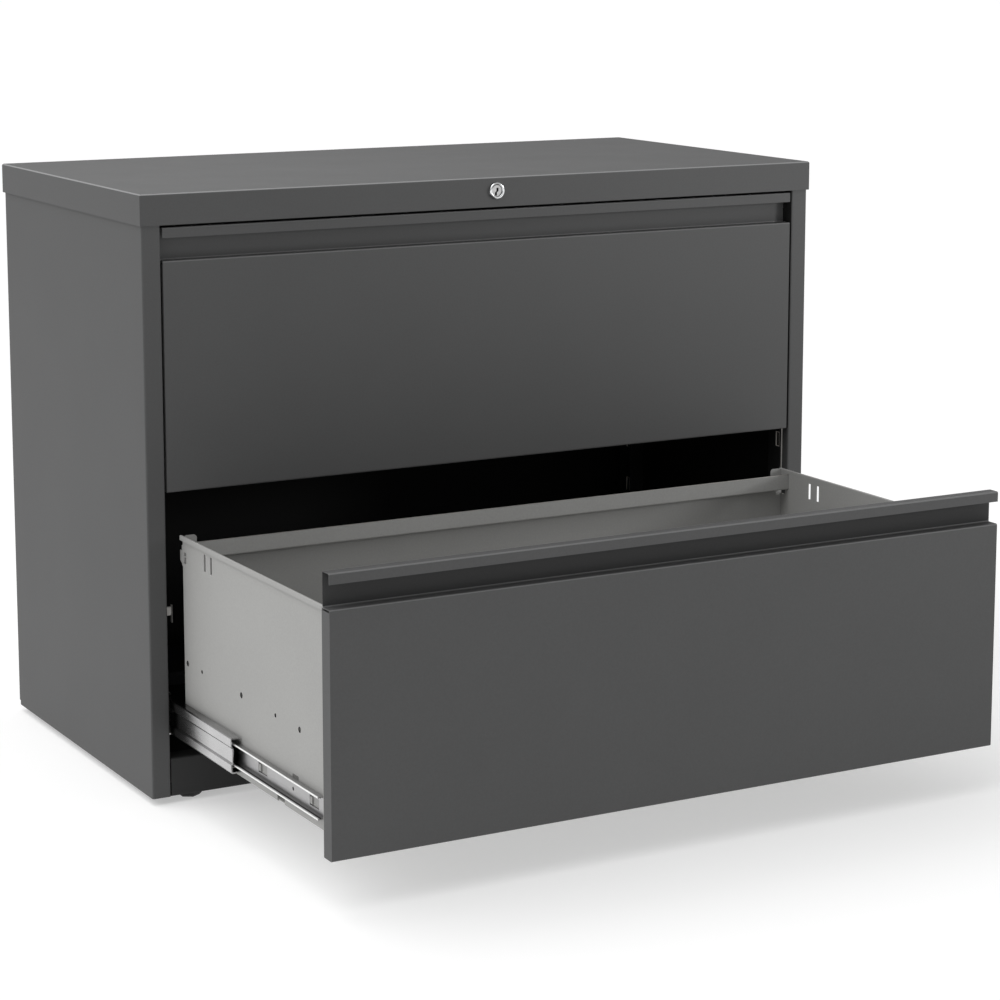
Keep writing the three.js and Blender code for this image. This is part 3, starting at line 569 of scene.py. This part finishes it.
ball_rows, ball_sockets = ball_row_tree()
for drawer in drawers:
    for run, radius in ball_radii.items():
        names = [f"{drawer}_{hand}_slide_{run}_cage" for hand in hands]
        strips = bmesh.new()
        for name in names:
            low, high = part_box(name)
            side = math.copysign(1, low.x)
            web, tip = sorted((low.x, high.x), key=abs, reverse=True)
            middle = (low.z + high.z) / 2
            rise = (high.z - low.z) / 2 - radius
            outer, inner = rise + strip / 2, rise - strip / 2
            lining = web - side * strip
            outline = [(tip, outer), (web, outer), (web, -outer), (tip, -outer)]
            outline += [(tip, -inner), (lining, -inner), (lining, inner), (tip, inner)]
            prism(strips, [(x, middle + z) for x, z in outline], low.y, high.y)
        cages = link_mesh(f"{drawer}_{run}_ball_cages", strips)
        length = high.y - low.y
        step = (length - 2 * row_end) / (balls_in_row - 1)
        apply_tree(cages, ball_rows, {
            ball_sockets["Width"]: 2 * (abs(tip) + radius + play),
            ball_sockets["Height"]: 2 * rise,
            ball_sockets["Ball Radius"]: radius,
            ball_sockets["Middle"]: (0.0, (low.y + high.y) / 2, middle),
            ball_sockets["First Ball"]: (0.0, row_end - length / 2, 0.0),
            ball_sockets["Step"]: (0.0, step, 0.0),
            ball_sockets["Balls"]: balls_in_row,
            ball_sockets["Finish"]: oiled_steel,
        })
        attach(cages, f"{drawer}_{run}_cages")
        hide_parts(*names)


# Drawer boxes: sides with a rolled top edge, bottom pan, back and the liner behind the front.
# All are 1 mm sheet, punched and folded, baked with a light grey enamel and spot welded together.
light_grey = (0.32, 0.319, 0.311)
side_tail = 0.0035
hole_radius = 0.00275
hole_rise = 0.095
hole_inset = 0.009
hole_pitch = 0.153
pilot_radius = 0.0017
pilot_insets = (0.051, 0.253)


def punched_holes(place):
    """1 on the cut rims of an even row of holes along each drawer side, and of the pilots between, where
    shade is painted dark.
    """
    _, y, z = axes(place)
    rims = 0
    for drawer in drawers:
        low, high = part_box(f"{drawer}_left_drawer_side")
        forward = high.y - side_tail - y
        up = z - (low.z + hole_rise)
        along = place.maths("PINGPONG", forward - hole_inset, hole_pitch / 2)
        rims = rims + (along * along + up * up < (hole_radius + cut_rim) ** 2)
        for inset in pilot_insets:
            along = forward - inset
            rims = rims + (along * along + up * up < (pilot_radius + cut_rim) ** 2)
    return rims


box_paint = enamel("light_grey_drawer_enamel", light_grey, 0.48)
# The drawer sides carry painted shade on the rims of their punched holes.
side_paint = enamel("light_grey_drawer_side_enamel", light_grey, 0.48, punched_holes)
for drawer in drawers:
    finish(box_paint, *[f"{drawer}_drawer_{panel}" for panel in ("bottom", "back", "liner")])
    finish(side_paint, *[f"{drawer}_{hand}_drawer_side" for hand in hands])


# Hang rails: angles of the drawer's own sheet and grey enamel across its front and rear. The
# standing edge carries the load, and is rubbed through to bright steel along its top.
def rubbed_top(place):
    """The top of each drawer's rails: where it is rubbed bright, with no burr."""
    z = axes(place)[2]
    tops = [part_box(f"{drawer}_rear_hang_rail")[1].z for drawer in drawers]
    return sum(abs(z - top) < skin for top in tops), None


rail_paint = enamel("light_grey_rail_enamel", light_grey, 0.45, bare=rubbed_top)
finish(rail_paint, *[f"{drawer}_{end}_hang_rail" for drawer in drawers for end in ends])


# Drawer fronts: one sheet each, folded into a flat face, a ledge, and a full-width pull whose lip
# turns down over the fingers. The charcoal enamel of the case, with shade painted dark behind the
# lip, more on the lower drawer, and a highlight painted light along the folds.
pull_height = 0.0381
pull_depth = 0.0156
front_sheet = 0.001
fold_width = 0.0013
fold_highlight = 0.45
pull_painted_shade = {"lower": 0.6, "upper": 0.1}


def behind_lip(drawer):
    """Painted shade that is high inside the pull, stronger on the lower drawer."""
    low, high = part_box(f"{drawer}_drawer_front")

    def shaded(place):
        _, y, z = axes(place)
        inside = (z > high.z - pull_height + fold_width) * (z < high.z - front_sheet / 2)
        return inside * (y > low.y + 1.5 * front_sheet) * pull_painted_shade[drawer]

    return shaded


def front_fold_highlights(drawer):
    """A painted highlight that follows the ledge's two folds and the edge of the lip."""
    low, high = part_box(f"{drawer}_drawer_front")

    def lined(place):
        _, y, z = axes(place)
        front = y < low.y + fold_width
        web = abs(y - low.y - pull_depth) < fold_width
        ledge = abs(z - high.z + pull_height) < fold_width
        lip = (z > high.z - fold_width) * (y < low.y + front_sheet + fold_width)
        return (ledge * (front + web) + lip) * fold_highlight

    return lined


# Each front's enamel has painted shade in its pull and painted highlights along its folds.
for drawer in drawers:
    name = f"charcoal_{drawer}_front_enamel"
    front_paint = enamel(name, charcoal, 0.5, behind_lip(drawer), front_fold_highlights(drawer))
    finish(front_paint, f"{drawer}_drawer_front")


# Lock gear: the cam behind the lock, the link across the case in its guide, and the rods down the
# front uprights. Stamped from strip: cam, link and guide are dull zinc, and the rods are black. Where
# their tabs stand out of the uprights they are painted light as bare steel and highlight, with the
# heads painted darker as shade.
black_oxide = (0.014, 0.014, 0.015)
dull_zinc = (0.66, 0.66, 0.65)
tab_head = 0.0012
head_painted_shade = 0.75
scuff_depth = 0.00003
gear_zinc = zinc_plate("dull_zinc_lock_gear", dull_zinc, 0.38, (0.05, 1, 1))
finish(gear_zinc, "lock_cam", "lock_link", "lock_guide")
rod_black, shader, place = start_finish("black_rod_with_painted_tab_highlights")
reach = abs(axes(place)[0])
# The tabs are painted light as bare steel and highlight, their heads darker as painted shade.
rubbed = reach < abs(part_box("left_front_upright")[1].x) + skin
head = reach < abs(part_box("left_lock_rod")[1].x) + tab_head + skin
scuffs = grain(place, scale=420, detail=3, stretch=(1, 1, 0.1))
oxide = mottled(scuffs, black_oxide, darkest=0.7, palest=1.8)
drive(
    shader,
    base_color=blend_colours(rubbed - head * head_painted_shade, oxide, bare_steel),
    roughness=0.5 + scuffs * 0.14 - rubbed * 0.12,
    normal=bumped(scuffs, scuff_depth, 0.5),
)
finish(rod_black, "left_lock_rod", "right_lock_rod")


# Key lock: a turned and chromed housing with a domed bezel, held in the cap, and the plug that
# takes the key. The plug's face is faced off on the lathe and keeps the tool's fine rings.
turns = 96
mouth_round = 0.0009
rim_round = 1.6 * mouth_round
rim_overhang = 0.0014
sharp_edge = math.radians(35)
plug_gap = 0.0003
ring_depth = 0.000004
bezel_chrome = (0.80, 0.81, 0.82)
plug_chrome = (0.5, 0.5, 0.5)
lock_painted_shade = (0.004, 0.004, 0.004, 1.0)
shaded_mouth = 1.7 * mouth_round
upper_left = (-0.4, 0.9)
lower_left = (-0.6, -0.8)
mouth_stops = [(0.55, 0.0), (0.75, 0.9)]
rim_stops = [(0.7, 0.0), (0.9, 0.9)]
keyway_width = 0.002
keyway_height = 0.0088
keyway_step = 0.0022
keyway_slope = 0.002
keyway_drop = 0.0012
keyway_shade_margin = 0.0004


def spread(across, up):
    """The distance from an axis of a place so far across and up."""
    return up.maths("SQRT", across * across + up * up)


def lathe_chrome(name, colour, roughness, ring_pitch, painted_dark):
    """Polished chrome with fine turned rings about the lock's axis, and a pattern of painted black shade.
    """
    material, shader, place = start_finish(name)
    low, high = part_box("lock_housing")
    x, _, z = axes(place)
    across, up = x - (low.x + high.x) / 2, z - (low.z + high.z) / 2
    rings = place.maths("PINGPONG", spread(across, up), ring_pitch) * (1 / ring_pitch)
    film = grain(place, scale=260, detail=3)
    dark_mask = painted_dark(across, up)
    chrome = mottled(film, colour, darkest=0.9, palest=1.08)
    drive(
        shader,
        base_color=blend_colours(dark_mask, chrome, lock_painted_shade),
        metallic=1 - dark_mask,
        roughness=film * 0.08 + rings * 0.05 + dark_mask * 0.4 + (roughness - 0.06),
        normal=bumped(rings, ring_depth, 0.4),
    )
    return material


def half_width(name):
    """Half the width of a piece."""
    low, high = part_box(name)
    return (high.x - low.x) / 2


def in_bezel(across, up):
    """Painted shade and dark reflection on the upper left of the bezel's mouth and on the lower left of its
    rim.
    """
    mouth = half_width("lock_plug") + plug_gap + shaded_mouth
    above = (across * upper_left[0] + up * upper_left[1]) * (spread(across, up) < mouth)
    below = across * lower_left[0] + up * lower_left[1]
    rim = half_width("lock_housing")
    return ramped(above * (1 / mouth), mouth_stops) + ramped(below * (1 / rim), rim_stops)


def in_keyway(across, up):
    """1 inside the keyway, which steps to one side half way up, and on a thin band round it: shade painted
    black.
    """
    rise = (up + keyway_drop) * (2 / keyway_slope)
    step = up.maths("MAXIMUM", up.maths("MINIMUM", rise, 1.0), -1.0) * (keyway_step / 2)
    within = abs(across - step) < keyway_width / 2 + keyway_shade_margin
    return within * (abs(up + keyway_drop) < keyway_height / 2 + keyway_shade_margin)


def arc(centre, radius, start, end, steps=5):
    """Points on an arc in radius and depth, from one angle to another in degrees."""
    angles = [math.radians(start + (end - start) * i / steps) for i in range(steps + 1)]
    return [(centre[0] + radius * math.cos(a), centre[1] + radius * math.sin(a)) for a in angles]


def lock_bezel():
    """The housing's profile spun about the lock's axis, with its rim and mouth rounded over."""
    low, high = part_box("lock_housing")
    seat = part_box("top_cap")[0].y - plug_gap
    axis = (low + high) / 2
    rim = half_width("lock_housing")
    bore = half_width("lock_plug") + plug_gap
    barrel = rim - rim_overhang
    profile = arc((bore + mouth_round, low.y + mouth_round), mouth_round, 180, 270)
    profile += arc((rim - rim_round, low.y + rim_round), rim_round, 270, 360)
    profile += [(rim, seat), (barrel, seat), (barrel, high.y), (bore, high.y)]
    mesh = bmesh.new()
    ring = [mesh.verts.new((axis.x + radius, depth, axis.z)) for radius, depth in profile]
    edges = [mesh.edges.new((ring[i], ring[(i + 1) % len(ring)])) for i in range(len(ring))]
    bmesh.ops.spin(
        mesh, geom=ring + edges, cent=axis, axis=(0, 1, 0), angle=2 * math.pi, steps=turns, use_merge=True,
    )
    for face in mesh.faces:
        face.smooth = True
    made = link_mesh("lock_bezel", mesh)
    made.data.set_sharp_from_angle(angle=sharp_edge)
    return made


# The bezel carries painted shade and dark reflection, and the plug's keyway is painted black as shade.
bezel = lock_bezel()
bezel.data.materials.append(lathe_chrome("polished_chrome_bezel", bezel_chrome, 0.1, 0.0006, in_bezel))
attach(bezel, "case")
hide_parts("lock_housing")
finish(lathe_chrome("faced_chrome_plug", plug_chrome, 0.2, 0.00025, in_keyway), "lock_plug")


# Cap: a lid of 1.2 mm sheet with welded corners and rounded top edges, which slips over the body
# and is screwed from below. It carries the lock, and has the best coat of enamel on the cabinet.
cap_fold = 0.0015


def under_cap(place):
    """1 on the cap's inner faces, where shade is painted dark, 0 on what shows."""
    x, y, z = axes(place)
    low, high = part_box("top_cap")
    return (abs(x) < high.x - skin) * (y > low.y + skin) * (y < high.y - skin) * (z < high.z - skin)


def cap_fold_highlights(place):
    """1 along the rounded top edges of the cap, where a highlight is painted light."""
    x, y, z = axes(place)
    low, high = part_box("top_cap")
    rim = (abs(x) > high.x - cap_fold) + (y < low.y + cap_fold) + (y > high.y - cap_fold)
    return (z > high.z - cap_fold) * (rim > 0)


# The cap carries painted shade on its inner faces and a painted highlight along its top edges.
finish(enamel("charcoal_cap_enamel", charcoal, 0.5, under_cap, cap_fold_highlights), "top_cap")


# Studio: a pale floor that glows about the cabinet and fades into an even sky far off, one broad soft
# light from high on the left, a softbox over the left end, and a gridded one low on the right. The
# camera stands at the photograph's angle.
floor_grey = (0.62, 0.62, 0.62)
far_grey = (0.53, 0.53, 0.53, 1.0)
floor_reach = 80.0
far_stops = [(0.42, 0.0), (0.95, 1.0)]
dark_half_width = 0.43
dark_front = 0.03
dark_rear = 0.42
floor_mesh = bpy.data.meshes.new("pale_floor")
corners = [(-1, -1), (1, -1), (1, 1), (-1, 1)]
floor_mesh.from_pydata([(x * floor_reach, y * floor_reach, 0) for x, y in corners], [], [(0, 1, 2, 3)])
pale_floor = bpy.data.objects.new("pale_floor", floor_mesh)
bpy.context.scene.collection.objects.link(pale_floor)
floor_paint, shader, place = start_finish("pale_floor_paint", {"Roughness": 0.9, "Emission Strength": 0.41})
x, y, _ = axes(place)
under_case = (abs(x) < dark_half_width) * (y > dark_front) * (y < dark_rear)
far = ramped(spread(x, y) * (1 / floor_reach), far_stops)
patches = grain(place, scale=6, detail=3)
near_floor = mottled(patches, floor_grey, darkest=0.99, palest=1.01)
drive(shader, base_color=blend_colours(far, near_floor, far_grey), emission_color=1 - under_case - far)
floor_mesh.materials.append(floor_paint)
pale_floor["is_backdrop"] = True

sky = bpy.data.worlds.new("even_sky")
sky.use_nodes = True
sky.node_tree.nodes["Background"].inputs["Color"].default_value = (1, 1, 1, 1)
sky.node_tree.nodes["Background"].inputs["Strength"].default_value = 0.52
bpy.context.scene.world = sky


def hang_light(name, kind, place, aim, **settings):
    """A light at one place, turned to another, with the settings of its kind."""
    light = bpy.data.lights.new(name, kind)
    for key, value in settings.items():
        setattr(light, key, value)
    hung = bpy.data.objects.new(name, light)
    hung.location = place
    hung.rotation_euler = (Vector(place) - Vector(aim)).to_track_quat("Z", "Y").to_euler()
    bpy.context.scene.collection.objects.link(hung)


hang_light(
    "soft_light_upper_left", "SUN", (-0.55, 0.08, 0.83), (0, 0, 0), energy=1.72, angle=math.radians(70),
)
hang_light("softbox_above_left", "AREA", (-0.42, 0.25, 1.5), (-0.42, 0.25, 0), energy=5.1, size=0.7)
hang_light(
    "gridded_fill_right", "AREA", (2.6, -2.4, 1.1), (0.3, 0, 0.68),
    energy=0.95, size=0.6, spread=math.radians(28),
)

lens = bpy.data.cameras.new("viewpoint")
lens.sensor_width = 36.0
lens.lens = 100.5
lens.shift_y = -0.12
lens.clip_end = 200.0
viewpoint = bpy.data.objects.new("viewpoint", lens)
viewpoint.location = (-1.6147, -2.9495, 1.0156)
looking_down = math.radians(9.307)
turned_right = math.radians(28.938)
viewpoint.rotation_euler = Euler((math.pi / 2 - looking_down, 0, -turned_right))
bpy.context.scene.collection.objects.link(viewpoint)
bpy.context.scene.camera = viewpoint
bpy.context.scene.view_settings.view_transform = "Standard"

low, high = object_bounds()
